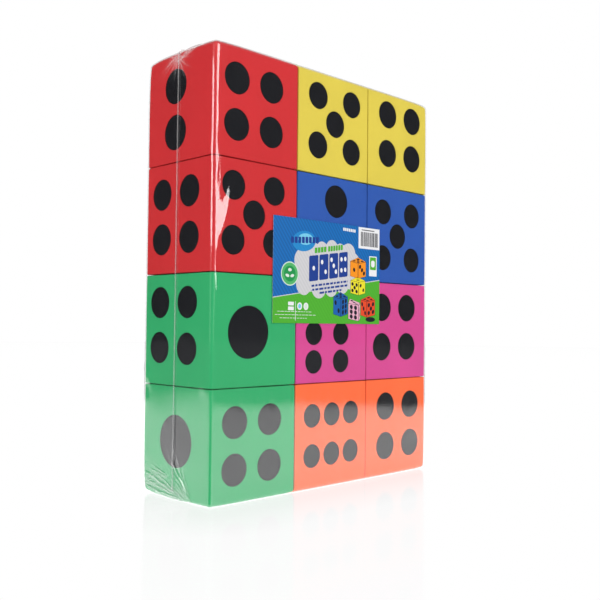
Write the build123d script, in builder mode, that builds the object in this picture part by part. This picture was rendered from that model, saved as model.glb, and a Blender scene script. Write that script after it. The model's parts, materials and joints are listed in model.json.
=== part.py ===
from build123d import *
import os

# A film-wrapped pack of twelve giant foam dice, three across and four high.
# Millimetres, +Z up, front towards -Y. The origin is on the floor, under the middle of the pack.

# ---- Dice -------------------------------------------------------------------------------
die_edge = 100.0            # foam cube, face to face
pack_columns = 3            # dice side by side
pack_rows = 4               # dice one above another
die_gap = 0.4               # play between neighbouring dice
cut_edge_radius = 1.0       # knife-cut edges, where one die meets the next
drawn_edge_radius = 5.0     # edges on the outside of the pack, pulled round by the film

# ---- Pips -------------------------------------------------------------------------------
pip_thickness = 3.0         # foam disc, and the depth of its pocket
pip_play = 0.1              # radial gap between a disc and its pocket
pip_diameter = {1: 47.0, 2: 32.0, 3: 28.5, 4: 28.5, 5: 26.0, 6: 22.5}
pair_reach = 21.0           # two: middle of the pattern to each pip
slant_reach = 24.0          # three: across and up to each outer pip
square_reach = 20.5         # four: across and up to each pip
star_reach = 24.0           # five: across and up to each outer pip
column_reach = 19.0         # six: middle to each column
column_pitch = 27.2         # six: one pip to the next within a column

# ---- Film -------------------------------------------------------------------------------
film_wall = 0.4             # solid wall that stands for the shrunk film
film_clearance = 0.3        # dice to film, all round
seal_width = 1.6            # how far the welded fin stands out from the film
seal_start = 8.0            # floor to the lower ends of the side seals

# ---- Label ------------------------------------------------------------------------------
label_width = 150.0
label_height = 98.5
label_thickness = 0.3
label_shift_x = -6.0        # off the middle of the pack's front, towards the left
label_shift_z = 6.0         # above the middle of the pack's front

# ---- Derived places ---------------------------------------------------------------------
film_margin = film_clearance + film_wall
die_pitch = die_edge + die_gap
stack_width = pack_columns * die_pitch - die_gap
stack_height = pack_rows * die_pitch - die_gap
stack_depth = die_edge
stack_middle_z = film_margin + stack_height / 2
film_front_y = -(stack_depth / 2 + film_margin)

# Pip centres on a face, across and up from the middle of the pattern.
pip_spots = {
    1: [(0, 0)],
    2: [(0, -pair_reach), (0, pair_reach)],
    3: [(-slant_reach, slant_reach), (0, 0), (slant_reach, -slant_reach)],
    4: [(x, y) for x in (-square_reach, square_reach) for y in (-square_reach, square_reach)],
    5: [(0, 0)] + [(x, y) for x in (-star_reach, star_reach) for y in (-star_reach, star_reach)],
    6: [(x, y) for x in (-column_reach, column_reach) for y in (-column_pitch, 0, column_pitch)],
}

# Each die: name, column from the left, row from the bottom, the numbers on its front, left
# and top faces, and how far the front and left patterns sit off centre, across and up.
# Opposite faces add up to seven, and one, two and three run anticlockwise on every die.
dice = [
    ("red_die_1", 0, 3, (4, 2, 6), (-4.0, 0.0), (-6.0, -2.0)),
    ("yellow_die_1", 1, 3, (5, 4, 6), (1.0, 2.0), (0.0, 0.0)),
    ("yellow_die_2", 2, 3, (4, 5, 1), (2.0, 6.5), (0.0, 0.0)),
    ("red_die_2", 0, 2, (5, 4, 6), (-3.0, 2.5), (-4.0, 2.0)),
    ("blue_die_1", 1, 2, (2, 3, 6), (3.5, 5.5), (0.0, 0.0)),
    ("blue_die_2", 2, 2, (5, 1, 4), (-1.0, 0.0), (0.0, 0.0)),
    ("green_die_1", 0, 1, (1, 4, 5), (-8.0, -1.5), (-5.0, 4.0)),
    ("magenta_die_1", 1, 1, (6, 2, 3), (-7.0, -2.5), (0.0, 0.0)),
    ("magenta_die_2", 2, 1, (4, 2, 6), (-5.0, 4.0), (0.0, 0.0)),
    ("green_die_2", 0, 0, (4, 1, 2), (-2.0, 0.0), (1.0, 1.5)),
    ("orange_die_1", 1, 0, (6, 3, 5), (0.0, 0.5), (0.0, 0.0)),
    ("orange_die_2", 2, 0, (4, 6, 5), (1.5, 1.5), (0.0, 0.0)),
]

# Faces whose six, or two, lies on its side.
turned_faces = {("orange_die_1", "front")}


def wrapped_block(margin):
    """The stack of dice as one block, grown by a margin, with its edges drawn round."""
    with BuildPart() as block:
        with Locations((0, 0, stack_middle_z)):
            Box(stack_width + 2 * margin, stack_depth + 2 * margin, stack_height + 2 * margin)
        fillet(block.edges(), drawn_edge_radius + margin)
    return block.part


def die_centre(column, row):
    """Middle of the die in this place of the stack."""
    across = (column - (pack_columns - 1) / 2) * die_pitch
    up = stack_middle_z + (row - (pack_rows - 1) / 2) * die_pitch
    return Vector(across, 0, up)


def face_patterns(name, centre, numbers, front_shift, left_shift):
    """A plane, a number and the pip centres for each of a die's six faces."""
    front, left, top = numbers
    faces = [
        ("front", front, (0, -1, 0), (1, 0, 0), front_shift),
        ("back", 7 - front, (0, 1, 0), (-1, 0, 0), (0, 0)),
        ("left", left, (-1, 0, 0), (0, -1, 0), left_shift),
        ("right", 7 - left, (1, 0, 0), (0, 1, 0), (0, 0)),
        ("top", top, (0, 0, 1), (1, 0, 0), (0, 0)),
        ("bottom", 7 - top, (0, 0, -1), (1, 0, 0), (0, 0)),
    ]
    patterns = []
    for side, number, outward, across, shift in faces:
        middle = centre + Vector(*outward) * (die_edge / 2)
        plane = Plane(origin=middle, x_dir=across, z_dir=outward)
        spots = pip_spots[number]
        if (name, side) in turned_faces:
            spots = [(y, -x) for x, y in spots]
        spots = [(x + shift[0], y + shift[1]) for x, y in spots]
        patterns.append((plane, number, spots))
    return patterns


def foam_block(centre, patterns):
    """One foam cube with a shallow round pocket for every pip."""
    with BuildPart() as block:
        with Locations(centre):
            Box(die_edge, die_edge, die_edge)
        fillet(block.edges(), cut_edge_radius)
        add(stack_outline, mode=Mode.INTERSECT)
        for plane, number, spots in patterns:
            with BuildSketch(plane):
                with Locations(*spots):
                    Circle(pip_diameter[number] / 2)
            extrude(amount=-pip_thickness, mode=Mode.SUBTRACT)
    return block


def pip_discs(patterns):
    """The twenty-one foam discs of one die, each seated on the floor of its pocket."""
    with BuildPart() as discs:
        for plane, number, spots in patterns:
            with BuildSketch(plane.offset(-pip_thickness)):
                with Locations(*spots):
                    Circle(pip_diameter[number] / 2 - pip_play)
            extrude(amount=pip_thickness)
        add(stack_outline, mode=Mode.INTERSECT)
    return discs


def film_leaf(kept_half, fin_direction):
    """Half of the film bag, from the bottom fold to the welded fin round three sides."""
    bag_width = stack_width + 2 * film_margin
    bag_height = stack_height + 2 * film_margin
    bag_radius = drawn_edge_radius + film_margin
    with BuildPart() as leaf:
        add(wrapped_block(film_margin))
        add(wrapped_block(film_clearance), mode=Mode.SUBTRACT)
        split(bisect_by=Plane.XZ, keep=kept_half)
        with BuildSketch(Plane.XZ):
            with Locations((0, stack_middle_z)):
                RectangleRounded(
                    bag_width + 2 * seal_width, bag_height + 2 * seal_width, bag_radius + seal_width
                )
                RectangleRounded(
                    bag_width - 2 * film_wall,
                    bag_height - 2 * film_wall,
                    bag_radius - film_wall,
                    mode=Mode.SUBTRACT,
                )
            with Locations((0, seal_start)):
                Rectangle(
                    2 * bag_width, 2 * bag_height, align=(Align.CENTER, Align.MAX), mode=Mode.SUBTRACT
                )
        extrude(amount=fin_direction * film_wall)
    return leaf


def printed_label():
    """The paper label, stuck to the front of the film."""
    with BuildPart() as label:
        with BuildSketch(Plane.XZ.offset(-film_front_y)):
            with Locations((label_shift_x, stack_middle_z + label_shift_z)):
                Rectangle(label_width, label_height)
        extrude(amount=label_thickness)
    return label


def save(piece, node_name):
    """Name a finished piece and write it to its own file."""
    piece.part.label = node_name
    export_step(piece.part, f"parts/{node_name}.step")


os.makedirs("parts", exist_ok=True)
stack_outline = wrapped_block(0)

for name, column, row, numbers, front_shift, left_shift in dice:
    centre = die_centre(column, row)
    patterns = face_patterns(name, centre, numbers, front_shift, left_shift)
    save(foam_block(centre, patterns), name)
    save(pip_discs(patterns), f"{name}_pips")

save(film_leaf(Keep.TOP, 1), "film_front")
save(film_leaf(Keep.BOTTOM, -1), "film_back")
save(printed_label(), "label")
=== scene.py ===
import json
import math
import random
from collections import namedtuple

import bmesh
import bpy
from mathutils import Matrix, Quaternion, Vector, noise

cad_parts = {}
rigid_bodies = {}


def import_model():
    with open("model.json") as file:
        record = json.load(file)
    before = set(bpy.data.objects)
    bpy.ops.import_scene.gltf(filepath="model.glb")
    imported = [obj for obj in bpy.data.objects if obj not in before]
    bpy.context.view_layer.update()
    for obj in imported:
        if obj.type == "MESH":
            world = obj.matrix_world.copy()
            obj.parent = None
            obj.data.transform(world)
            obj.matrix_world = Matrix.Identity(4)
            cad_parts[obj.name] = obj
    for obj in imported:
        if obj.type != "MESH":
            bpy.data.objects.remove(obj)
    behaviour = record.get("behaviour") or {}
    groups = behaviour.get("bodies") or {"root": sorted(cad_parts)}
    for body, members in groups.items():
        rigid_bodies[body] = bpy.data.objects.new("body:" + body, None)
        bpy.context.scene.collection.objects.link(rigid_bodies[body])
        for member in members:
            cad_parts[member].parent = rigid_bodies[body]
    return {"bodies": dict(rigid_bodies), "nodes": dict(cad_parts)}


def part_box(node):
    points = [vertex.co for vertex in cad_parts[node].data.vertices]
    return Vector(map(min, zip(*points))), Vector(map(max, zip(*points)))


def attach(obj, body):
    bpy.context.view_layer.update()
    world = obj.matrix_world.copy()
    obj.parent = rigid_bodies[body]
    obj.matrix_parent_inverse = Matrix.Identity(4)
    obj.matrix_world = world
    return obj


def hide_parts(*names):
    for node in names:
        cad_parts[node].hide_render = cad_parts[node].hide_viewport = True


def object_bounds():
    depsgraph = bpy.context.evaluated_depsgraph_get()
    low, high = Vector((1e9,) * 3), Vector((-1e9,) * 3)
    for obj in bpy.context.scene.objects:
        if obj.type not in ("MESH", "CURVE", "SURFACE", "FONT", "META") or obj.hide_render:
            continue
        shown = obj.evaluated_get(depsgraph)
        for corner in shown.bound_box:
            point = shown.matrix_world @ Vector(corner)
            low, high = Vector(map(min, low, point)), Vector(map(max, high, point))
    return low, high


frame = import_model()
cad_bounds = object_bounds()


# ---- Foam cubes ------------------------------------------------------------------------------
# Twelve cubes of soft closed-cell foam, knife-cut from slabs and stacked three wide and four high.
# The shrunk film squeezes their outer edges round and pulls the corners of the pack in.

die_names = sorted(name for name in frame["bodies"] if "_die_" in name)
die_boxes = {name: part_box(name) for name in die_names}
stack_low = Vector([min(low[axis] for low, high in die_boxes.values()) for axis in range(3)])
stack_high = Vector([max(high[axis] for low, high in die_boxes.values()) for axis in range(3)])

cube_cuts = 6                 # grid lines across each face of a cube
squeezed_radius = 0.0040      # edges on the outside of the pack
cut_radius = 0.0008           # knife-cut edges between neighbours
edge_give = 0.0018            # share of its size that a cube gives way at its edges
edge_wobble = 0.00012         # waver of the knife
wobbles_per_metre = 45
pocket_play = 0.0001          # pocket radius less disc radius
rim_radius = 0.0003           # softened rim of a pocket
sliver_size = 0.00025         # slivers left by the pockets, up to this length, are closed up
sharp_turn = math.radians(50) # edges that turn more than this are bevelled
round_sides = 56              # sides of the prism that stands for a disc or its pocket
same_place = 2e-5             # points this near each other are taken as one

# The film draws each corner of the pack in, here along x, y and z. It pulls hardest on the top
# corners, and on the two at the back of the left side.
corner_pull_reach = 0.012     # how far from a corner the pull is felt
bottom_pull = Vector((0.0007, 0.0007, 0.0007))
top_pull = Vector((0.0006, 0.0003, 0.0016))
left_back_pull = Vector((0.0006, 0.0012, 0.0010))
corner_pulls = [
    (Vector((x, y, z)), pull)
    for x in (stack_low.x, stack_high.x)
    for y in (stack_low.y, stack_high.y)
    for z, pull in ((stack_low.z, bottom_pull), (stack_high.z, top_pull))
]
for z in (stack_low.z, stack_high.z):
    corner_pulls.append((Vector((stack_low.x, stack_high.y, z)), left_back_pull))


def start_fresh():
    """Deselects everything, so that the next operator acts on its own piece alone."""
    bpy.ops.object.select_all(action="DESELECT")


def edit(piece):
    """Enters edit mode on one piece, with all of its mesh selected."""
    start_fresh()
    piece.select_set(True)
    bpy.context.view_layer.objects.active = piece
    bpy.ops.object.mode_set(mode="EDIT")
    bpy.ops.mesh.select_mode(type="EDGE")
    bpy.ops.mesh.select_all(action="SELECT")


def leave_edit():
    """Back to object mode."""
    bpy.ops.object.mode_set(mode="OBJECT")


def pick_edges(wanted):
    """Selects, in edit mode, only the edges that pass a test."""
    bpy.ops.mesh.select_all(action="DESELECT")
    mesh = bmesh.from_edit_mesh(bpy.context.object.data)
    for edge in mesh.edges:
        edge.select_set(wanted(edge))
    bmesh.update_edit_mesh(bpy.context.object.data)


def apply_modifier(piece, kind, **settings):
    """Adds one modifier to a piece and applies it."""
    start_fresh()
    piece.select_set(True)
    bpy.context.view_layer.objects.active = piece
    modifier = piece.modifiers.new(kind.title(), kind)
    for setting, value in settings.items():
        setattr(modifier, setting, value)
    bpy.ops.object.modifier_apply(modifier=modifier.name)


def cuboid(name, low, high):
    """A cuboid between two corners, its object left at the origin."""
    start_fresh()
    bpy.ops.mesh.primitive_cube_add(size=1, location=(low + high) / 2, scale=high - low)
    piece = bpy.context.object
    piece.name = name
    bpy.ops.object.transform_apply(location=True, rotation=True, scale=True)
    return piece


def reshape(piece, moved):
    """Moves every point of a mesh to where a function of its place says."""
    for vertex in piece.data.vertices:
        vertex.co = moved(vertex.co)
    piece.data.update()


def outside_planes(point):
    """The outside planes of the stack that a point lies on."""
    planes = set()
    for axis in range(3):
        if abs(point[axis] - stack_low[axis]) < same_place:
            planes.add((axis, "low"))
        if abs(point[axis] - stack_high[axis]) < same_place:
            planes.add((axis, "high"))
    return planes


def is_pack_edge(edge):
    """True for a cube's edge where two outside planes of the stack meet."""
    return len(outside_planes(edge.verts[0].co) & outside_planes(edge.verts[1].co)) > 1


def drawn_in(point):
    """Where the tight film draws a point near a corner of the pack."""
    moved = point.copy()
    middle = (stack_low + stack_high) / 2
    for corner, depths in corner_pulls:
        away = sum(abs(point[axis] - corner[axis]) for axis in range(3))
        pull = depths * math.exp(-away / corner_pull_reach)
        for axis in range(3):
            moved[axis] += math.copysign(pull[axis], middle[axis] - corner[axis])
    return moved


def foam_gives(point, low, high):
    """A cut cube's faces fall away a little at their edges, unevenly."""
    middle, half = (low + high) / 2, (high - low) / 2
    share = [(point[axis] - middle[axis]) / half[axis] for axis in range(3)]
    moved = []
    for axis in range(3):
        near_edges = [abs(share[other]) ** 8 for other in range(3) if other != axis]
        waver = noise.noise(point * wobbles_per_metre + Vector((axis * 7, 0, 0)))
        give = edge_give * sum(near_edges) * half[axis]
        give += edge_wobble * max(near_edges) * (1 + waver)
        moved.append(point[axis] - give * share[axis])
    return Vector(moved)


def disc_places(node):
    """Middle of the outer face, outward direction, radius and thickness of each disc of a die."""
    mesh = bmesh.new()
    mesh.from_mesh(frame["nodes"][node].data)
    bmesh.ops.remove_doubles(mesh, verts=mesh.verts, dist=1e-6)
    low, high = die_boxes[node.removesuffix("_pips")]
    die_middle = (low + high) / 2
    unseen = set(mesh.verts)
    places = []
    while unseen:
        island = [unseen.pop()]
        for vertex in island:
            for edge in vertex.link_edges:
                neighbour = edge.other_vert(vertex)
                if neighbour in unseen:
                    unseen.remove(neighbour)
                    island.append(neighbour)
        lowest = Vector([min(vertex.co[axis] for vertex in island) for axis in range(3)])
        highest = Vector([max(vertex.co[axis] for vertex in island) for axis in range(3)])
        size = highest - lowest
        axis = min(range(3), key=lambda a: size[a])
        outward = Vector((0, 0, 0))
        outward[axis] = math.copysign(1, (lowest + highest)[axis] / 2 - die_middle[axis])
        middle = (lowest + highest) / 2 + outward * size[axis] / 2
        places.append((middle, outward, max(size) / 2, size[axis]))
    mesh.free()
    return sorted(places, key=lambda place: tuple(round(value, 5) for value in place[0]))


def pocket_cutters(places):
    """One object of plain cylinders, a little wider than the discs, to cut their pockets."""
    cutter = None
    for middle, outward, radius, thickness in places:
        turn = outward.to_track_quat("Z", "Y").to_euler()
        if cutter is None:
            start_fresh()
        bpy.ops.mesh.primitive_cylinder_add(
            vertices=round_sides, radius=radius + pocket_play, depth=2 * thickness,
            location=middle, rotation=turn,
        )
        if cutter is None:
            cutter = bpy.context.object
            bpy.ops.object.transform_apply(location=True, rotation=True, scale=True)
            bpy.ops.object.mode_set(mode="EDIT")
    leave_edit()
    return cutter


def foam_cube(name):
    """One cube with its squeezed and cut edges, and a pocket for every pip."""
    low, high = die_boxes[name]
    block = cuboid(f"{name}_foam", low, high)
    edit(block)
    bpy.ops.mesh.subdivide(number_cuts=cube_cuts)
    pick_edges(is_pack_edge)
    bpy.ops.mesh.bevel(offset=squeezed_radius, segments=6, affect="EDGES")
    bpy.ops.mesh.select_all(action="DESELECT")
    bpy.ops.mesh.edges_select_sharp(sharpness=sharp_turn)
    bpy.ops.mesh.bevel(offset=cut_radius, segments=3, affect="EDGES")
    leave_edit()
    reshape(block, lambda point: drawn_in(foam_gives(point, low, high)))

    cutter = pocket_cutters(disc_places(f"{name}_pips"))
    apply_modifier(block, "BOOLEAN", operation="DIFFERENCE", solver="EXACT", object=cutter)
    bpy.data.objects.remove(cutter)
    edit(block)
    bpy.ops.mesh.dissolve_degenerate(threshold=sliver_size)
    bpy.ops.mesh.select_all(action="DESELECT")
    bpy.ops.mesh.edges_select_sharp(sharpness=sharp_turn)
    mesh = bmesh.from_edit_mesh(block.data)
    for edge in mesh.edges:
        if edge.select and not edge.is_convex:
            edge.select_set(False)
    bmesh.update_edit_mesh(block.data)
    bpy.ops.mesh.bevel(offset=rim_radius, segments=2, affect="EDGES")
    leave_edit()
    bpy.ops.object.shade_smooth_by_angle(angle=math.radians(35))
    apply_modifier(block, "WEIGHTED_NORMAL", keep_sharp=True)
    return block


def add_node(material, kind, *in_order, **named):
    """Adds one node. Its inputs come in order or by name, as plain values or as sockets to link.

    None leaves an input as it is. A name that no input has sets a property of the node.
    """
    node = material.node_tree.nodes.new("ShaderNode" + kind)
    given = list(zip(node.inputs, in_order))
    for key, value in named.items():
        name = key.replace("_", " ")
        if name in node.inputs:
            given.append((node.inputs[name], value))
        else:
            setattr(node, key, value)
    for socket, value in given:
        if isinstance(value, bpy.types.NodeSocket):
            material.node_tree.links.new(value, socket)
        elif value is not None:
            socket.default_value = value
    return node


def spread(material, value, low, high, source_low=0.0, source_high=1.0):
    """Maps a value that runs between two limits onto two others."""
    return add_node(material, "MapRange", value, source_low, source_high, low, high).outputs[0]


def worked_out(material, operation, *values):
    """The result of one sum on plain values and sockets."""
    return add_node(material, "Math", *values, operation=operation).outputs[0]


def new_finish(name):
    """An empty node material, with its output and the piece's own coordinates."""
    material = bpy.data.materials.new(name)
    material.use_nodes = True
    material.node_tree.nodes.clear()
    output = add_node(material, "OutputMaterial")
    place = add_node(material, "TexCoord").outputs["Object"]
    return material, output, place


def linear(red, green, blue):
    """A display colour, from 0 to 255, as the scene-linear colour that nodes take."""
    shares = [value / 255 for value in (red, green, blue)]
    return [s / 12.92 if s <= 0.04045 else ((s + 0.055) / 1.055) ** 2.4 for s in shares] + [1.0]


# Foam cells, coarser grain and the slab's mottling, as so many to the metre, and how far each of
# them stands out, shades the colour or changes the roughness.
mottles_per_metre, mottle_shade = 16.0, 0.035
cells_per_metre, cell_depth = 1300.0, 0.00012
grains_per_metre, grain_depth, grain_roughness = 520.0, 0.0002, 0.07


def foam_finish(name, colour, speckle, roughness, shine=0.3):
    """Sliced closed-cell foam: a matte skin of fine cells, with the slab's faint mottling."""
    material, output, place = new_finish(name)
    mottle = add_node(material, "TexNoise", Vector=place, Scale=mottles_per_metre, Detail=3.0)
    cells = add_node(material, "TexVoronoi", Vector=place, Scale=cells_per_metre)
    grain = add_node(
        material, "TexNoise", Vector=place, Scale=grains_per_metre, Detail=5.0, Roughness=0.65
    )
    cell, speck = cells.outputs["Distance"], grain.outputs["Fac"]
    shade = spread(material, mottle.outputs["Fac"], 1 - mottle_shade, 1 + mottle_shade, 0.3, 0.7)
    pores = spread(material, cell, 1 - speckle, 1 + speckle, 0.0, 0.8)
    value = worked_out(material, "MULTIPLY", shade, pores)
    tint = add_node(material, "HueSaturation", Color=colour, Value=value)
    cell_bump = add_node(material, "Bump", Strength=0.35, Distance=cell_depth, Height=cell)
    grain_bump = add_node(
        material, "Bump", Strength=0.3, Distance=grain_depth, Height=speck,
        Normal=cell_bump.outputs["Normal"],
    )
    rough = spread(
        material, speck, roughness - grain_roughness, roughness + grain_roughness, 0.3, 0.7
    )
    skin = add_node(
        material, "BsdfPrincipled", Base_Color=tint.outputs["Color"], Roughness=rough,
        Normal=grain_bump.outputs["Normal"], Specular_IOR_Level=shine,
    )
    material.node_tree.links.new(skin.outputs["BSDF"], output.inputs["Surface"])
    return material


foam_speckle, foam_roughness = 0.05, 0.72
foam_colours = {
    "red": linear(198, 35, 40),
    "yellow": linear(212, 193, 72),
    "blue": linear(34, 82, 166),
    "green": linear(40, 166, 102),
    "magenta": linear(206, 67, 141),
    "orange": linear(250, 106, 54),
}
foam_finishes = {
    colour: foam_finish(f"{colour}_foam", shade, foam_speckle, foam_roughness)
    for colour, shade in foam_colours.items()
}

for name in die_names:
    colour = name.split("_")[0]
    block = foam_cube(name)
    block.data.materials.clear()
    block.data.materials.append(foam_finishes[colour])
    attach(block, name)
    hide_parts(name)


# ---- Pips ------------------------------------------------------------------------------------
# Discs punched from thin black foam and pressed into the pockets, flush with the faces.
# The punch leaves a soft rim, and no two discs are seated at quite the same depth.

disc_rim = 0.0004             # rounding left by the punch
disc_dish = 0.00012           # how far the middle of a disc sinks
deepest_seat = 0.00016        # how far below flush a disc may sit
dish_step = 0.3               # each ring of the dish is this share of the radius further in
seating = random.Random(12)
black_foam = foam_finish("black_foam", linear(18, 19, 24), 0.12, 0.74, shine=0.12)


def punched_discs(name, places):
    """All the discs of one die, in one mesh."""
    discs = None
    for middle, outward, radius, thickness in places:
        middle = middle - outward * seating.uniform(0, deepest_seat)
        turn = outward.to_track_quat("Z", "Y").to_euler()
        start_fresh()
        bpy.ops.mesh.primitive_cylinder_add(
            vertices=round_sides, radius=radius, depth=thickness,
            location=middle - outward * thickness / 2, rotation=turn,
        )
        disc = bpy.context.object
        bpy.ops.object.transform_apply(location=True, rotation=True, scale=True)
        bpy.ops.object.mode_set(mode="EDIT")
        bpy.ops.mesh.select_mode(type="FACE")
        bpy.ops.mesh.select_all(action="DESELECT")
        mesh = bmesh.from_edit_mesh(disc.data)
        for face in mesh.faces:
            face.select_set(face.normal.dot(outward) > 0.9)
        bmesh.update_edit_mesh(disc.data)
        bpy.ops.mesh.bevel(offset=disc_rim, segments=3, affect="EDGES")
        bpy.ops.mesh.select_all(action="DESELECT")
        mesh = bmesh.from_edit_mesh(disc.data)
        flat_faces = [face for face in mesh.faces if face.normal.dot(outward) > 0.999]
        max(flat_faces, key=lambda face: face.calc_area()).select_set(True)
        bmesh.update_edit_mesh(disc.data)
        for ring in range(2):
            bpy.ops.mesh.inset(thickness=radius * dish_step)
            bpy.ops.transform.translate(value=-outward * disc_dish / 2)
        leave_edit()
        if discs is None:
            discs = disc
        else:
            start_fresh()
            disc.select_set(True)
            discs.select_set(True)
            bpy.context.view_layer.objects.active = discs
            bpy.ops.object.join()
    discs.name = name
    start_fresh()
    discs.select_set(True)
    bpy.context.view_layer.objects.active = discs
    bpy.ops.object.shade_smooth_by_angle(angle=math.radians(40))
    return discs


for name in die_names:
    discs = punched_discs(f"{name}_foam_pips", disc_places(f"{name}_pips"))
    discs.data.materials.clear()
    discs.data.materials.append(black_foam)
    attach(discs, name)
    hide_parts(f"{name}_pips")


# ---- Shrink film -----------------------------------------------------------------------------
# A bag of clear shrink film in two leaves, front and back, folded under the pack and welded in
# a fin up both sides and over the top. Heat drew it tight; what was left over is in pleats.

film_thickness = 0.00012
film_radius = 0.0042          # film over the outer edges of the pack
seal_width = 0.0016           # how far the welded fin stands out
seal_start = 0.008            # floor to the lower ends of the fin
fin_waver = 0.00025
weld_whiteness = 0.36
tooth_size = Vector((0.0004, 0.0030, 0.0005))   # marks of the sealing jaw beside the left fin
tooth_pitch, tooth_count, tooth_start = 0.0013, 8, 0.032

front_low, front_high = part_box("film_front")
back_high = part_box("film_back")[1]
bag_low = Vector((front_low.x + seal_width, front_low.y, front_low.z))
bag_high = Vector((front_high.x - seal_width, back_high.y, front_high.z - seal_width))
bag_middle = (bag_low + bag_high) / 2

# The mesh of a leaf is fine near its sides, bottom and top, and coarse between them.
fine_x, coarse_x, fine_x_reach = 0.0016, 0.012, 0.038
fine_y = 0.0020
fine_z, coarse_z, fine_bottom_reach, fine_top_reach = 0.0018, 0.006, 0.062, 0.045
gather_cuts = 2               # extra cuts across each face of the mesh where the film is gathered

# Gathers fan out over the sides of the pack, each from one point at the bottom or the top. Side is
# -1 for the left and 1 for the right; across and level place the point; heading and half_fan are in
# degrees from straight up towards the back; height is that of the pleats, and white how white the
# gathered film is: its haze, and a painted highlight along the crest of each pleat.
Gather = namedtuple("Gather", "side across level heading half_fan pleats reach height white")
top = bag_high.z
gathers = [
    Gather(-1, -0.025, 0.002, 84, 21, 8, 0.060, 0.0018, 0.75),
    Gather(-1, -0.026, 0.002, 46, 28, 6, 0.029, 0.0018, 0.45),
    Gather(-1, -0.027, 0.001, 70, 30, 5, 0.022, 0.0011, 0.50),
    Gather(-1, 0.050, 0.009, -76, 34, 7, 0.024, 0.0010, 0.60),
    Gather(-1, 0.008, 0.020, 90, 30, 5, 0.018, 0.0008, 0.50),
    Gather(-1, 0.003, top - 0.006, 180, 180, 16, 0.009, 0.0009, 0.55),
    Gather(-1, -0.001, top - 0.010, -58, 20, 4, 0.034, 0.0013, 1.00),
    Gather(-1, 0.006, top - 0.006, 112, 26, 4, 0.012, 0.0006, 0.20),
    Gather(1, 0.023, 0.002, -82, 24, 5, 0.055, 0.0018, 0.50),
    Gather(1, 0.020, 0.003, -38, 30, 6, 0.038, 0.0014, 0.30),
    Gather(1, -0.003, top - 0.006, 180, 180, 14, 0.011, 0.0012, 0.60),
]
fan_edge = 12                 # degrees over which a fan of pleats fades at each side
fan_growth = 0.45             # share of its reach by which a fan stands at its full height
knot_radius = 0.004           # white part of a gather, where its pleats meet
length_spread, height_spread, wander_spread = 0.8, 0.7, 0.5   # how unlike pleats of one fan are

# Spans are places by the left front edge where the film leaves the foam and runs straight from
# the face towards the corner. Each row: height above the floor, and inner and outer side of the
# flat span, both measured from the corner.
spans = [
    [(0.214, 0.0010, 0.0020), (0.237, 0.0008, 0.0125), (0.258, 0.0015, 0.0175),
     (0.269, 0.0085, 0.0190), (0.284, 0.0180, 0.0185)],
    [(0.256, 0.0020, 0.0030), (0.272, 0.0045, 0.0075), (0.286, 0.0065, 0.0100),
     (0.296, 0.0062, 0.0095), (0.308, 0.0070, 0.0075)],
    [(0.284, 0.0015, 0.0020), (0.292, 0.0020, 0.0045), (0.304, 0.0045, 0.0062)],
    [(0.172, 0.0020, 0.0030), (0.188, 0.0020, 0.0075), (0.203, 0.0035, 0.0045)],
    [(0.330, 0.0050, 0.0055), (0.338, 0.0060, 0.0085), (0.346, 0.0085, 0.0090)],
]
span_slope = 0.10             # how steeply a span stands off the face
span_fade = 0.006             # how softly it comes back to the face

front_slack, side_slack = 0.00007, 0.00016      # how far the film waves in and out
deepest_sink = 0.00045        # how far it may sink below its plain shape


def on_side(side, inwards, up):
    """A point on the left (-1) or right (1) side of the bag.

    It lies inwards of the front edge, or of the back edge where that is negative.
    """
    across = bag_low.y + inwards if inwards > 0 else -bag_low.y + inwards
    return Vector((-side * bag_low.x, across, up))


# Tucks are single soft ridges: from, to, half width and height.
tucks = [
    (on_side(-1, 0.003, 0.296), on_side(-1, 0.009, 0.330), 0.0018, 0.0004),
    (on_side(-1, -0.014, 0.103), on_side(-1, -0.001, 0.116), 0.0020, 0.0012),
    (on_side(-1, -0.010, 0.084), on_side(-1, -0.001, 0.090), 0.0014, 0.0008),
    (on_side(-1, 0.001, 0.099), on_side(-1, 0.016, 0.103), 0.0026, 0.0007),
    (on_side(1, 0.004, 0.180), on_side(1, 0.010, 0.240), 0.0024, 0.0005),
    (on_side(1, -0.006, 0.120), on_side(1, -0.010, 0.190), 0.0022, 0.0005),
]


def outward_of(point):
    """The direction straight out of the rounded bag at a point on it."""
    core = Vector([
        min(max(point[axis], bag_low[axis] + film_radius), bag_high[axis] - film_radius)
        for axis in range(3)
    ])
    out = point - core
    return out.normalized() if out.length > 1e-7 else Vector((0, 0, 1))


def pleat(turn):
    """Cross section of pleated film: broad valleys with sharp, uneven crests."""
    crest = 1 - abs(2 * (turn % 1.0) - 1)
    return crest ** 2.2


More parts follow.
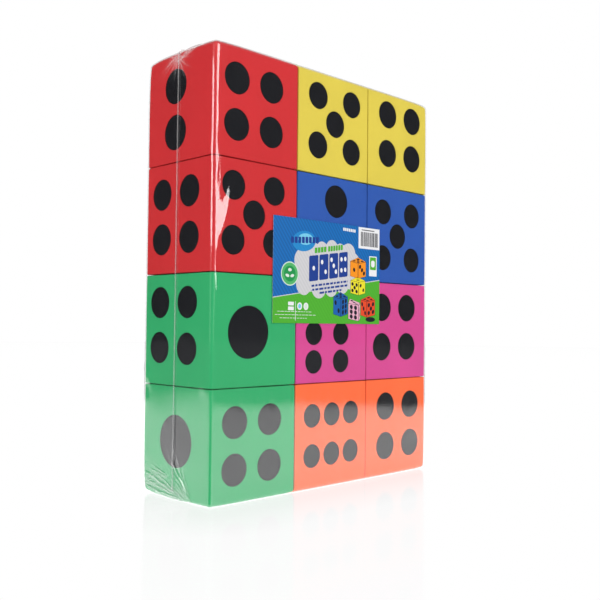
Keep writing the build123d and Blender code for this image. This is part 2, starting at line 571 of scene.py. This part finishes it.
def gathered(point):
    """Height of the pleats at a point, and how white the film is there: haze, and painted crest
    highlights.
    """
    height = white = 0.0
    faces_out = abs(point.y) > bag_high.y - film_radius / 3
    overhang = max(0.0, bag_high.x - abs(point.x))
    for gather in gathers:
        if gather.side * point.x < 0:
            continue
        up = point.z - gather.level
        back = point.y - gather.across
        if faces_out:
            back += math.copysign(overhang, point.y)
        elif gather.level > bag_middle.z:
            up += overhang
        else:
            up -= overhang
        distance = math.hypot(up, back)
        if distance > 3 * gather.reach:
            continue
        turn = math.degrees(math.atan2(back, up)) - gather.heading
        turn = (turn + 180) % 360 - 180
        inside = 1.0
        if gather.half_fan < 180:
            inside = min(1.0, max(0.0, (gather.half_fan - abs(turn)) / fan_edge))
        seed = Vector((gather.across * 900, gather.level * 40, turn / 16))
        longest = gather.reach * (1.0 + length_spread * noise.noise(seed))
        grown = min(1.0, distance / (gather.reach * fan_growth))
        strength = inside * grown * math.exp(-((distance / longest) ** 2))
        bend = noise.noise(Vector((turn / 25, distance * 70, gather.side * 3 + gather.level)))
        crest = pleat(turn / (2 * gather.half_fan) * gather.pleats + wander_spread * bend)
        uneven = 0.75 + height_spread * noise.noise(seed * 1.7 + Vector((3, 1, 7)))
        height += gather.height * strength * uneven * crest
        # The 0.25 share is the haze of gathered film; the crest ** 3 term is a painted highlight
        # along each crest.
        white += gather.white * strength * (0.25 + crest ** 3)
        white += 0.4 * gather.white * math.exp(-((distance / knot_radius) ** 2)) * inside
    return height, min(white, 1.0)


def spanning(point):
    """Height of the film above the plain bag where it spans a corner."""
    height = 0.0
    if outward_of(point).y < -0.3 and point.x < 0:
        across = point.x - bag_low.x
        for rows in spans:
            for (low, low_in, low_out), (high, high_in, high_out) in zip(rows, rows[1:]):
                if low <= point.z < high:
                    share = (point.z - low) / (high - low)
                    inner = low_in + (high_in - low_in) * share
                    outer = low_out + (high_out - low_out) * share
                    rise = span_slope * (min(max(across, inner), outer) - inner)
                    beyond = max(0.0, across - outer)
                    height += rise * math.exp(-((beyond / span_fade) ** 2))
    return height


def tucked(point):
    """Height of the single tucks at a point."""
    height = 0.0
    for start, end, half_width, tallest in tucks:
        run = end - start
        share = (point - start).dot(run) / run.length_squared
        if -0.3 < share < 1.3:
            nearest = start + run * min(max(share, 0.0), 1.0)
            away = (point - nearest).length / half_width
            taper = math.sin(math.pi * share) ** 0.6 if 0 < share < 1 else 0.0
            height += tallest * taper * math.exp(-away * away)
    return height


def shrunk(point):
    """Where a point of the plain rounded bag lies once the film is shrunk on."""
    out = outward_of(point)
    height = gathered(point)[0]
    slack = noise.noise(point * 26) + 0.5 * noise.noise(point * 61)
    loose = front_slack if abs(out.y) > 0.9 else side_slack
    height += tucked(point) + spanning(point) + loose * (slack - 1.0)
    moved = drawn_in(point + out * max(height, -deepest_sink))
    moved.z = max(moved.z, 0.0)
    return moved


def graded(low, high, fine, coarse, low_reach, high_reach):
    """Places for cuts between two ends: close together near the ends, wider between."""
    places = []
    place = low + fine
    while place < high - fine / 2:
        places.append(place)
        near_end = place < low + low_reach or place > high - high_reach
        place += fine if near_end else coarse
    return places


def cut_grid(axis, places):
    """Cuts the mesh in edit mode straight across at each place along an axis."""
    normal = Vector((0, 0, 0))
    normal[axis] = 1
    for place in places:
        bpy.ops.mesh.select_all(action="SELECT")
        bpy.ops.mesh.bisect(plane_co=normal * place, plane_no=normal)


def near_gather(middle):
    """True for a place on the sides of the bag where the film is gathered."""
    for gather in gathers:
        if gather.side * middle.x > bag_high.x - 1.5 * film_radius:
            away = math.hypot(middle.z - gather.level, middle.y - gather.across)
            if away < 1.25 * gather.reach:
                return True
    return False


def half_bag(name, keeps_front):
    """Half of the plain rounded bag, cut into a mesh that is fine where the film is gathered."""
    leaf = cuboid(name, bag_low, bag_high)
    edit(leaf)
    bpy.ops.mesh.bevel(offset=film_radius, segments=7, affect="EDGES")
    bpy.ops.mesh.select_all(action="SELECT")
    weld_y = -film_thickness if keeps_front else film_thickness
    bpy.ops.mesh.bisect(
        plane_co=(0, weld_y, 0), plane_no=(0, 1, 0),
        clear_outer=keeps_front, clear_inner=not keeps_front,
    )
    for axis, fine, coarse, low_reach, high_reach in (
        (0, fine_x, coarse_x, fine_x_reach, fine_x_reach),
        (2, fine_z, coarse_z, fine_bottom_reach, fine_top_reach),
    ):
        start, end = bag_low[axis] + film_radius, bag_high[axis] - film_radius
        cut_grid(axis, graded(start, end, fine, coarse, low_reach, high_reach))
    deep = bag_high.y - film_radius
    start, end = (-deep, weld_y) if keeps_front else (weld_y, deep)
    cut_grid(1, graded(start, end, fine_y, fine_y, deep, deep))
    bpy.ops.mesh.select_mode(type="FACE")
    bpy.ops.mesh.select_all(action="DESELECT")
    mesh = bmesh.from_edit_mesh(leaf.data)
    for face in mesh.faces:
        face.select_set(near_gather(face.calc_center_median()))
    bmesh.update_edit_mesh(leaf.data)
    bpy.ops.mesh.subdivide(number_cuts=gather_cuts)
    leave_edit()
    return leaf


def pull_out_fin(leaf):
    """Pulls half of the fin out of the cut edge of a leaf in edit mode, down to the seal's start."""
    pick_edges(lambda edge: edge.is_boundary and min(v.co.z for v in edge.verts) > seal_start)
    bpy.ops.mesh.extrude_region_move()
    mesh = bmesh.from_edit_mesh(leaf.data)
    whiteness = mesh.verts.layers.float["whiteness"]
    for vertex in mesh.verts:
        if vertex.select:
            vertex[whiteness] = weld_whiteness
            out = outward_of(Vector((vertex.co.x, 0, vertex.co.z)))
            out.y = 0
            vertex.co += out.normalized() * seal_width
            vertex.co.y += fin_waver * noise.noise(vertex.co * 90)
    bmesh.update_edit_mesh(leaf.data)
    bpy.ops.mesh.select_all(action="SELECT")
    bpy.ops.mesh.remove_doubles(threshold=1e-6)


def face_outwards(leaf):
    """Turns all faces of a leaf in edit mode out of the bag."""
    bpy.ops.mesh.normals_make_consistent(inside=False)
    mesh = bmesh.from_edit_mesh(leaf.data)
    facing_out = sum(face.normal.dot(outward_of(face.calc_center_median())) for face in mesh.faces)
    if facing_out < 0:
        bpy.ops.mesh.flip_normals()


def film_leaf(name, keeps_front):
    """Half of the bag, pleated, with its half of the welded fin."""
    leaf = half_bag(name, keeps_front)
    whiteness = leaf.data.attributes.new("whiteness", "FLOAT", "POINT")
    whiteness.data.foreach_set("value", [gathered(vertex.co)[1] for vertex in leaf.data.vertices])
    reshape(leaf, shrunk)
    edit(leaf)
    pull_out_fin(leaf)
    face_outwards(leaf)
    leave_edit()
    apply_modifier(leaf, "SOLIDIFY", thickness=film_thickness, offset=-1.0)
    bpy.ops.object.shade_smooth_by_angle(angle=math.radians(60))
    return leaf


def add_jaw_marks(leaf):
    """A short ladder of teeth pressed into the film where the sealing jaw ended."""
    film_points = len(leaf.data.vertices)
    edit(leaf)
    for tooth in range(tooth_count):
        middle = Vector((
            bag_low.x - tooth_size.x / 4, tooth_size.y * 0.7, tooth_start + tooth * tooth_pitch
        ))
        bpy.ops.mesh.primitive_cube_add(size=1, location=middle, scale=tooth_size)
        bpy.ops.mesh.bevel(offset=tooth_size.x / 4, segments=2, affect="EDGES")
    leave_edit()
    whiteness = leaf.data.attributes["whiteness"].data
    for index in range(film_points, len(leaf.data.vertices)):
        whiteness[index].value = weld_whiteness


mirror_face_on, mirror_rise = 0.045, 5.0        # share of light mirrored, and how it grows aslant
streaks_per_metre, streak_depth = (220.0, 220.0, 30.0), 0.00008
film_roughness = (0.03, 0.10)
# Share of white diffuse film mixed in by whiteness: haze, and in gathers painted highlights on the
# crests.
haze_and_highlight_where_white, least_haze = 0.5, 0.001
plain_white = (1, 1, 1, 1)


def slant(material):
    """0 where a surface is seen face on, rising late to 1 where it is seen on edge."""
    facing = add_node(material, "LayerWeight", Blend=0.5)
    return worked_out(material, "POWER", facing.outputs["Facing"], mirror_rise)


def film_finish():
    """Clear film: it lets nearly all light through, mirrors a little, and whitens in gathers with
    haze and painted highlights.
    """
    material, output, place = new_finish("clear_film")
    mirror_share = spread(material, slant(material), mirror_face_on, 1.0)
    drawn = add_node(material, "Mapping", Vector=place, Scale=streaks_per_metre)
    streaks = add_node(material, "TexNoise", Vector=drawn.outputs[0], Scale=1.0, Detail=4.0)
    streak = streaks.outputs["Fac"]
    ripple = add_node(material, "Bump", Strength=0.25, Distance=streak_depth, Height=streak)
    rough = spread(material, streak, *film_roughness, 0.3, 0.7)
    gloss = add_node(
        material, "BsdfAnisotropic", Color=plain_white, Roughness=rough,
        Normal=ripple.outputs["Normal"],
    )
    clear = add_node(material, "BsdfTransparent")
    film = add_node(material, "MixShader", mirror_share, clear.outputs[0], gloss.outputs[0])
    whiteness = add_node(material, "Attribute", attribute_name="whiteness")
    # Whiteness mixes in white diffuse film: the weld's white, the haze of gathers and painted crest
    # highlights.
    haze_and_highlight = worked_out(
        material, "MULTIPLY_ADD", whiteness.outputs["Fac"], haze_and_highlight_where_white, least_haze
    )
    white = add_node(material, "BsdfDiffuse", Color=(0.9, 0.9, 0.9, 1))
    hazed_and_highlighted = add_node(material, "MixShader", haze_and_highlight, film.outputs[0], white.outputs[0])
    material.node_tree.links.new(hazed_and_highlighted.outputs[0], output.inputs["Surface"])
    return material


clear_film = film_finish()
for node, keeps_front in (("film_front", True), ("film_back", False)):
    leaf = film_leaf(f"{node}_leaf", keeps_front)
    if not keeps_front:
        add_jaw_marks(leaf)
    leaf.data.materials.clear()
    leaf.data.materials.append(clear_film)
    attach(leaf, node)
    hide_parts(node)


# ---- Label -----------------------------------------------------------------------------------
# A coated paper label stuck on the front film over the joint of four dice. It is printed with a
# blue sky, a green field, a white cloud, pictures of dice and bars, all of it without words.

label_low, label_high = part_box("label")
paper_thickness = 0.00016
paper_edge = 0.00004          # softening of the cut edge
ink_step = 0.0000175          # each layer of ink lies this much above the one below
mm = 0.001
label_width = (label_high.x - label_low.x) / mm
label_height = (label_high.z - label_low.z) / mm


def ink_piece(name):
    """Starts one ink as an empty mesh in edit mode."""
    start_fresh()
    bpy.ops.mesh.primitive_plane_add(size=0.01, location=(0, 0, 0))
    piece = bpy.context.object
    piece.name = name
    bpy.ops.object.mode_set(mode="EDIT")
    bpy.ops.mesh.select_mode(type="VERT")
    bpy.ops.mesh.select_all(action="SELECT")
    bpy.ops.mesh.delete(type="VERT")
    return piece


def print_shape(outline, layer):
    """One flat shape of ink, from its outline in mm across and up from the label's corner."""
    bpy.ops.mesh.select_all(action="DESELECT")
    bpy.ops.mesh.primitive_circle_add(vertices=len(outline), radius=0.01, fill_type="TRIFAN")
    mesh = bmesh.from_edit_mesh(bpy.context.object.data)
    height = label_high.y - paper_thickness - (layer - 1) * ink_step
    points = [vertex for vertex in mesh.verts if vertex.select]
    hub = min(points, key=lambda vertex: vertex.co.length)
    points.remove(hub)
    points.sort(key=lambda vertex: math.atan2(vertex.co.y, vertex.co.x))
    centre = [sum(point[axis] for point in outline) / len(outline) for axis in range(2)]
    for vertex, (across, up) in zip([hub] + points, [centre] + outline):
        vertex.co = (label_low.x + across * mm, height, label_low.z + up * mm)
    mesh.normal_update()
    bmesh.update_edit_mesh(bpy.context.object.data)
    bpy.ops.mesh.extrude_region_move(TRANSFORM_OT_translate={"value": (0, -ink_step, 0)})


def ellipse(across, up, width, height, points=36, lean=0.0):
    """Outline of an ellipse about a middle."""
    turns = [2 * math.pi * point / points for point in range(points)]
    return [
        (across + width / 2 * math.cos(t) + lean * math.sin(t), up + height / 2 * math.sin(t))
        for t in turns
    ]


def bar(across, up, width, height, rise=0.0, corner=0.0):
    """Outline of a bar from its lower left corner, rising to the right, with rounded corners."""
    if not corner:
        ends = [(0, 0), (width, 0), (width, height), (0, height)]
    else:
        ends = []
        for x, y, start in ((width, height, 0), (0, height, 90), (0, 0, 180), (width, 0, 270)):
            for step in range(5):
                turn = math.radians(start + step * 22.5)
                middle_x = x - math.copysign(corner, x - width / 2)
                middle_y = y - math.copysign(corner, y - height / 2)
                end = (middle_x + corner * math.cos(turn), middle_y + corner * math.sin(turn))
                ends.append(end)
    return [(across + x, up + y + x * rise) for x, y in ends]


def on_quad(corners, across, up):
    """A point of the unit square carried onto a four-cornered face."""
    (ax, ay), (bx, by), (cx, cy), (dx, dy) = corners
    low = (ax + (bx - ax) * across, ay + (by - ay) * across)
    high = (dx + (cx - dx) * across, dy + (cy - dy) * across)
    return (low[0] + (high[0] - low[0]) * up, low[1] + (high[1] - low[1]) * up)


face_spots = {
    1: [(0.5, 0.5)],
    2: [(0.3, 0.7), (0.7, 0.3)],
    3: [(0.25, 0.75), (0.5, 0.5), (0.75, 0.25)],
    4: [(0.28, 0.28), (0.72, 0.28), (0.28, 0.72), (0.72, 0.72)],
    5: [(0.25, 0.25), (0.75, 0.25), (0.5, 0.5), (0.25, 0.75), (0.75, 0.75)],
    6: [(x, y) for x in (0.3, 0.7) for y in (0.2, 0.5, 0.8)],
}


def pictured_faces(across, up, width, height, turn):
    """The three seen faces of a pictured die; turn is how much of its width the left face takes."""
    right = across + width
    low_left, high_left = (across, up + 0.10 * height), (across, up + 0.80 * height)
    low_middle, high_middle = (across + width * turn, up), (across + width * turn, up + 0.72 * height)
    low_right, high_right = (right, up + 0.12 * height), (right, up + 0.82 * height)
    top = (across + width * (1 - turn), up + height)
    return [
        [low_left, low_middle, high_middle, high_left],
        [low_middle, low_right, high_right, high_middle],
        [high_left, high_middle, high_right, top],
    ]


def spot_outline(corners, across, up, radius):
    """Outline of a pip, carried onto a pictured face."""
    places = []
    for step in range(16):
        turn = math.pi * step / 8
        places.append((across + radius * math.cos(turn), up + radius * math.sin(turn)))
    return [on_quad(corners, x, y) for x, y in places]


# Pictured dice: ink, place across and up, width, height, share of the left face, and the numbers
# on the left, right and top faces.
pictures = [
    ("orange", 104.5, 45.5, 24.0, 21.5, 0.50, (1, 3, 5)),
    ("yellow", 105.2, 28.8, 22.5, 18.4, 0.55, (5, 2, 1)),
    ("die_blue", 80.5, 6.8, 21.0, 24.5, 0.52, (2, 6, 5)),
    ("red", 120.8, 6.5, 22.5, 22.5, 0.42, (3, 5, 4)),
    ("pink", 102.0, 2.6, 18.0, 22.5, 0.88, (6, 2, 3)),
]
bars = random.Random(7)

# The cloud: a wide oval body, and round lobes by place across and up and radius.
cloud_middle, cloud_reach, cloud_flatness = (72, 53), 34, 1.6
cloud_lobes = [
    (78, 73, 8.5), (102, 70, 10), (109, 61, 10), (51, 67, 11), (39, 59, 12), (37, 47, 10),
    (40, 37, 10.5), (60, 34, 10), (77, 35, 9), (93, 39, 9.5), (107, 47, 13), (64, 71, 8),
    (90, 72, 7),
]

# Other parts of the print that several inks share.
field_left, field_right, field_rim = 23.0, 45.0, 0.8    # height of the field's edge, and its rim
badge_middle = (21.3, 45.9)
first_mark, second_mark = (34.5, 16.0), (42.8, 16.0)
tile_width, tile_height = 12.6, 24.5


def tile_corner(spots):
    """Lower left corner of the big tile with so many spots."""
    return 46.5 + (spots - 1) * 13.9, 39.5 + (spots - 1) * 1.95


def dashes(start, end, shortest, longest, gap):
    """Dashes of uneven length that stand for a line of words: where each starts, and its length."""
    left = start
    while left < end:
        long = bars.uniform(shortest, longest)
        yield left, min(long, end - left)
        left += long + gap


def field_shapes():
    """The field, the mark in the panel at the right, and letters turned into bars."""
    yield [(0, 0), (label_width, 0), (label_width, field_right), (0, field_left)], 2
    yield bar(134.8, 55.5, 9.4, 13.0, corner=0.8), 4
    for start, letters, step in ((54.0, 4, 4.2), (72.5, 6, 3.6)):
        for letter in range(letters):
            left = start + letter * step
            up = 67.0 + (left - 54) * 0.15
            yield bar(left, up, step - 0.7, 5.2, rise=0.15, corner=0.5), 4


def cloud_outline(points=180):
    """The outline of the cloud, as seen from its middle."""
    middle = Vector(cloud_middle)
    outline = []
    for point in range(points):
        turn = 2 * math.pi * point / points
        towards = Vector((math.cos(turn), math.sin(turn)))
        furthest = cloud_reach / math.hypot(towards.x, towards.y * cloud_flatness)
        for lobe_across, lobe_up, radius in cloud_lobes:
            offset = Vector((lobe_across, lobe_up)) - middle
            nearest = offset.dot(towards)
            miss = offset.length_squared - nearest * nearest
            if nearest > 0 and miss < radius * radius:
                furthest = max(furthest, nearest + math.sqrt(radius * radius - miss))
        outline.append((middle.x + furthest * towards.x, middle.y + furthest * towards.y))
    return outline


def cloud_shapes():
    """The cloud, and the pale rim of the field."""
    yield cloud_outline(), 3
    rim = [(0, field_left), (label_width, field_right)]
    yield rim + [(across, up + field_rim) for across, up in reversed(rim)], 2


def dark_blue_shapes():
    """Four tiles for a big word, three lines of dashes, and the bars across the oval badge."""
    for spots in (1, 2, 3, 4):
        yield bar(*tile_corner(spots), tile_width, tile_height, rise=0.14, corner=1.6), 4
    for row, (start, end) in enumerate(((50, 101), (51, 101), (61, 93))):
        for left, long in dashes(start, end, 2.6, 6.5, 1.2):
            up = 34.6 - row * 3.9 + (left - 50) * 0.13
            yield bar(left, up, long, 2.0, rise=0.13, corner=0.4), 4
    for letter in range(8):
        yield bar(22.5 + letter * 4.7, 74.6 + letter * 0.3, 3.7, 6.0, corner=0.8), 6


def white_shapes():
    """Spots of the tiles, the panels at the right, small dashes and plain marks."""
    for spots in (1, 2, 3, 4):
        left, up = tile_corner(spots)
        right, right_up = left + tile_width, up + 1.8
        face = [(left, up), (right, right_up), (right, right_up + tile_height),
                (left, up + tile_height)]
        for spot in face_spots[spots]:
            yield ellipse(*on_quad(face, *spot), 3.4, 4.4, 24), 5
    yield bar(136.6, 58.2, 5.6, 7.0, corner=2.4), 5
    yield bar(117.0, 76.5, 32.5, 21.5), 2
    yield bar(133.6, 49.0, 11.8, 20.5, corner=0.6), 3
    for tick in range(7):
        yield bar(94.0 + tick * 2.7, 92.2 - tick * 0.08, 2.0, 3.0, corner=0.3), 2
    for row, (start, end) in enumerate(((6, 50), (3, 56), (9, 44))):
        for left, long in dashes(start, end, 2.0, 5.0, 0.9):
            yield bar(left, 10.6 - row * 3.0, long, 0.45), 3
    yield bar(28.8, 2.5, 0.5, 18.0), 4
    for up in (16.5, 12.0):
        yield bar(19.5, up, 7.4, 3.4, corner=0.6), 3
    for mark in (first_mark, second_mark):
        yield ellipse(*mark, 6.4, 7.0), 3


def badge_mark_shapes():
    """Three petals in the middle of the round badge."""
    for turn in (90, 210, 330):
        towards = math.radians(turn)
        across = badge_middle[0] + 3.6 * math.cos(towards)
        up = badge_middle[1] + 3.6 * math.sin(towards)
        yield ellipse(across, up, 4.6, 3.0, 24, lean=0.8 * math.cos(towards)), 7


def black_shapes():
    """Bars of no meaning in the upper panel, and outlines and spots of the pictured dice."""
    left = 120.5
    while left < 146.0:
        wide = bars.choice((0.6, 0.9, 1.2, 1.6))
        yield bar(left, 79.0, wide, 14.5), 3
        left += wide + bars.choice((0.5, 0.7, 1.1))
    yield bar(121.5, 95.0, 20.0, 0.9), 3
    yield ellipse(136.0, 4.6, 15.0, 5.0, 40), 7
    for ink, across, up, width, height, turn, numbers in pictures:
        faces = pictured_faces(across, up, width, height, turn)
        left_face, right_face, top_face = faces
        yield left_face[:2] + right_face[1:3] + [top_face[3], top_face[0]], 4
        for face, number in zip(faces, numbers):
            for spot in face_spots[number]:
                yield spot_outline(face, *spot, 0.14), 6


face_inset = ((0.03, 0.02), (0.97, 0.02), (0.97, 0.98), (0.03, 0.98))


def picture_shapes(wanted):
    """The inset faces of every pictured die in one ink."""
    for ink, across, up, width, height, turn, numbers in pictures:
        if ink == wanted:
            for face in pictured_faces(across, up, width, height, turn):
                yield [on_quad(face, x, y) for x, y in face_inset], 5


# Hatching, screen dots and paper fibres, as so many to the metre.
hatches_per_metre, hatch_turn = 96.0, math.radians(38)
dots_per_metre, dot_shade = 2600.0, 0.03
fibres_per_metre, fibre_depth = 900.0, 0.00005
print_roughness, print_shine = (0.38, 0.5), 0.2


def print_finish(name, colour, hatch=0.0):
    """Offset ink on coated paper: fine dots of the screen, hatching, a soft gloss and fibres."""
    material, output, place = new_finish(name)
    turned = add_node(material, "Mapping", Vector=place, Rotation=(0, hatch_turn, 0)).outputs[0]
    hatching = add_node(
        material, "TexWave", Vector=turned, Scale=hatches_per_metre, Distortion=0.4,
        bands_direction="X",
    )
    screen = add_node(material, "TexVoronoi", Vector=turned, Scale=dots_per_metre)
    fibres = add_node(material, "TexNoise", Vector=place, Scale=fibres_per_metre, Detail=4.0)
    fibre = fibres.outputs["Fac"]
    lines = spread(material, hatching.outputs["Fac"], 1 - hatch, 1 + hatch)
    dots = spread(material, screen.outputs["Distance"], 1 - dot_shade, 1 + dot_shade)
    value = worked_out(material, "MULTIPLY", lines, dots)
    ink = add_node(material, "HueSaturation", Color=colour, Value=value)
    grain = add_node(material, "Bump", Strength=0.2, Distance=fibre_depth, Height=fibre)
    surface = add_node(
        material, "BsdfPrincipled", Base_Color=ink.outputs["Color"],
        Roughness=spread(material, fibre, *print_roughness, 0.3, 0.7),
        Normal=grain.outputs["Normal"], Specular_IOR_Level=print_shine,
    )
    material.node_tree.links.new(surface.outputs["BSDF"], output.inputs["Surface"])
    return material


paper_back = Vector((label_low.x, label_high.y - paper_thickness, label_low.z))
paper = cuboid("label_paper", paper_back, label_high)
edit(paper)
bpy.ops.mesh.bevel(offset=paper_edge, segments=2, affect="EDGES")
leave_edit()
bpy.ops.object.shade_smooth_by_angle(angle=math.radians(40))
paper.data.materials.append(print_finish("label_paper", linear(232, 232, 228)))
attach(paper, "film_front")
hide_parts("label")

oval_badge = [(ellipse(39.5, 77.5, 31.0, 19.5, 48, lean=2.0), 4)]
oval_light = [(ellipse(41.5, 79.5, 20.0, 11.0, 40, lean=1.0), 5), (ellipse(*first_mark, 3.8, 4.4), 4)]
badge_rim = [(ellipse(*badge_middle, 22.5, 22.5, 48), 4), (ellipse(*second_mark, 3.8, 4.4), 4)]
badge_ring = [(ellipse(*badge_middle, 20.4, 20.4, 48), 5)]
badge_disc = [(ellipse(*badge_middle, 14.6, 14.6, 40), 6)]

# Each ink: name, shapes with their layers, colour, and how dark its hatching is.
inks = [
    ("sky_blue", [(bar(0, 0, label_width, label_height), 1)], linear(4, 91, 158), 0.18),
    ("field_green", field_shapes(), linear(68, 156, 38), 0.04),
    ("cloud_white", cloud_shapes(), linear(184, 183, 186), 0.05),
    ("badge_blue", oval_badge, linear(22, 120, 180), 0.04),
    ("pale_blue", oval_light, linear(104, 180, 208), 0.04),
    ("word_blue", dark_blue_shapes(), linear(18, 52, 128), 0.03),
    ("spot_white", white_shapes(), linear(212, 212, 214), 0.02),
    ("badge_green", badge_rim, linear(186, 206, 190), 0.02),
    ("badge_pale", badge_ring, linear(70, 160, 92), 0.02),
    ("badge_leaf", badge_disc, linear(20, 132, 66), 0.02),
    ("badge_mark", badge_mark_shapes(), linear(200, 210, 202), 0.02),
    ("key_black", black_shapes(), linear(18, 18, 30), 0.02),
    ("orange", picture_shapes("orange"), linear(222, 132, 16), 0.02),
    ("yellow", picture_shapes("yellow"), linear(212, 200, 34), 0.02),
    ("die_blue", picture_shapes("die_blue"), linear(14, 84, 156), 0.02),
    ("red", picture_shapes("red"), linear(206, 64, 28), 0.02),
    ("pink", picture_shapes("pink"), linear(208, 156, 176), 0.02),
]
for ink_name, shapes, colour, hatch in inks:
    ink = ink_piece(f"label_ink_{ink_name}")
    for outline, layer in shapes:
        print_shape(outline, layer)
    bpy.ops.mesh.select_all(action="SELECT")
    bpy.ops.mesh.normals_make_consistent(inside=False)
    leave_edit()
    ink.data.materials.append(print_finish(f"ink_{ink_name}", colour, hatch))
    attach(ink, "film_front")


# ---- Floor, light and camera -----------------------------------------------------------------
# A white glossy table that runs out of sight, two soft lights and a camera low at one corner.
# None of these is part of the pack. Table and room are white to the camera, and the film mirrors
# only some of them as lit.

floor_radius = 6.0
lit_radius = 0.80             # the part of the table that the film mirrors as lit
lit_glow, unlit_glow = 1.9, 0.12
fade_before, fade_after = 0.04, 0.10            # where the light ends, inside and past that radius
left_fade, left_start = 0.46, -0.1              # it ends more slowly where x is below this
towards_camera = (-0.707, -0.707, 0)            # from the pack's near corner
# Painted shade of the camera: in mirrors the table is darker in a wedge towards the camera.
shade_glow, shade_sides = 0.06, (0.86, 0.93)    # a darker wedge of table that way
near_polish, far_polish, polish_reach = 0.62, 0.16, 0.09

start_fresh()
bpy.ops.mesh.primitive_circle_add(vertices=96, radius=floor_radius, fill_type="NGON")
floor = bpy.context.object
floor.name = "table"


def vector_sum(material, operation, *values):
    """The node that works out one sum on vectors."""
    return add_node(material, "VectorMath", *values, operation=operation)


def table_finish():
    """White table: an even glow, painted light and shade where mirrored, and a mirror seen aslant
    that fades away from the pack.
    """
    material, output, place = new_finish("table_white")
    across = add_node(material, "SeparateXYZ", Vector=place).outputs["X"]
    on_left = worked_out(material, "LESS_THAN", across, left_start)
    fade_end = worked_out(material, "MULTIPLY_ADD", on_left, left_fade, lit_radius + fade_after)
    distance = vector_sum(material, "LENGTH", place).outputs["Value"]
    near_glow = spread(
        material, distance, lit_glow, unlit_glow, lit_radius - fade_before, fade_end
    )
    from_corner = vector_sum(material, "SUBTRACT", place, (stack_low.x, stack_low.y, 0))
    heading = vector_sum(material, "NORMALIZE", from_corner.outputs[0])
    camera_way = vector_sum(material, "DOT_PRODUCT", heading.outputs[0], towards_camera)
    shade = spread(material, camera_way.outputs["Value"], 1.0, shade_glow, *shade_sides)
    mirrored_light = worked_out(material, "MULTIPLY", near_glow, shade)
    in_mirror = add_node(material, "LightPath").outputs["Is Glossy Ray"]
    light = add_node(material, "Mix", in_mirror, None, 1.0, mirrored_light, data_type="FLOAT")
    glow = add_node(material, "Emission", Color=plain_white, Strength=light.outputs[0])

    sideways = vector_sum(material, "ABSOLUTE", place)
    beyond = vector_sum(material, "SUBTRACT", sideways.outputs[0], (stack_high.x, stack_high.y, 0))
    outside = vector_sum(material, "MAXIMUM", beyond.outputs[0])
    from_pack = vector_sum(material, "LENGTH", outside.outputs[0]).outputs["Value"]
    polish = spread(material, from_pack, near_polish, far_polish, 0.0, polish_reach)
    mirror_share = worked_out(material, "MULTIPLY", slant(material), polish)
    mirror = add_node(material, "BsdfAnisotropic", Color=plain_white, Roughness=0.10)
    table = add_node(material, "MixShader", mirror_share, glow.outputs[0], mirror.outputs[0])
    material.node_tree.links.new(table.outputs[0], output.inputs["Surface"])
    return material


floor.data.materials.append(table_finish())

# What the film mirrors of the room round the table: dark towards the camera and where the camera
# sees the two faces mirror it, and bright behind the pack.
room_glow, behind_glow, fill_glow = 0.45, 1.0, 0.62
dark_stretches = [(135.5, 24), (-44.5, 24), (225, 20)]  # compass point and half width in degrees
bright_stretch = (44.5, 30)
stretch_softness = 0.12

world = bpy.data.worlds.new("studio")
bpy.context.scene.world = world
world.use_nodes = True
world.node_tree.nodes.clear()
view_direction = add_node(world, "TexCoord").outputs["Generated"]


def horizon_stretch(compass, half_width):
    """1 well inside a stretch of the horizon round a compass point, 0 outside it."""
    turn, half = math.radians(compass), math.radians(half_width)
    towards = (math.sin(turn), math.cos(turn), 0)
    dot = vector_sum(world, "DOT_PRODUCT", view_direction, towards).outputs["Value"]
    return spread(world, dot, 0.0, 1.0, math.cos(half + stretch_softness), math.cos(half))


darkest = 0.0
for stretch in dark_stretches:
    darkest = worked_out(world, "MAXIMUM", darkest, horizon_stretch(*stretch))
room = spread(world, darkest, room_glow, 0.0)
behind = horizon_stretch(*bright_stretch)
lit_room = add_node(world, "Mix", behind, None, room, behind_glow, data_type="FLOAT")
rays = add_node(world, "LightPath").outputs
indirect = add_node(
    world, "Mix", rays["Is Glossy Ray"], None, fill_glow, lit_room.outputs[0], data_type="FLOAT"
)
strength = add_node(
    world, "Mix", rays["Is Camera Ray"], None, indirect.outputs[0], 1.0, data_type="FLOAT"
)
backdrop = add_node(world, "Background", Color=plain_white, Strength=strength.outputs[0])
world_output = add_node(world, "OutputWorld")
world.node_tree.links.new(backdrop.outputs[0], world_output.inputs["Surface"])


def soft_light(name, place, aim, width, height, glow_level):
    """A soft rectangular light, seen in reflections but not by the camera."""
    light = bpy.data.lights.new(name, "AREA")
    light.shape = "RECTANGLE"
    light.size = width
    light.size_y = height
    light.energy = glow_level * math.pi * width * height
    lamp = bpy.data.objects.new(name, light)
    bpy.context.scene.collection.objects.link(lamp)
    lamp.location = place
    lamp.rotation_euler = (aim - place).to_track_quat("-Z", "Z").to_euler()
    lamp.visible_camera = False


pack_middle = (cad_bounds[0] + cad_bounds[1]) / 2
soft_light("right_softbox", Vector((0.25, -1.22, 0.64)), pack_middle, 0.62, 0.74, 6.7)
soft_light("left_softbox", Vector((-1.30, -0.10, 0.56)), pack_middle, 0.44, 0.80, 6.4)

camera_place = Vector((-0.5807, -0.5945, 0.1572))
camera_azimuth = math.radians(44.52)
camera_rise = math.radians(1.70)
camera_roll = math.radians(0.60)
forward = Vector((
    math.sin(camera_azimuth) * math.cos(camera_rise),
    math.cos(camera_azimuth) * math.cos(camera_rise),
    math.sin(camera_rise),
))
camera = bpy.data.cameras.new("camera")
camera.lens = 48.85
camera.sensor_width = 36.0
camera_object = bpy.data.objects.new("camera", camera)
bpy.context.scene.collection.objects.link(camera_object)
camera_object.location = camera_place
camera_object.rotation_mode = "QUATERNION"
camera_object.rotation_quaternion = forward.to_track_quat("-Z", "Y")
camera_object.rotation_quaternion.rotate(Quaternion(forward, -camera_roll))
bpy.context.scene.camera = camera_object
bpy.context.scene.view_settings.view_transform = "Standard"
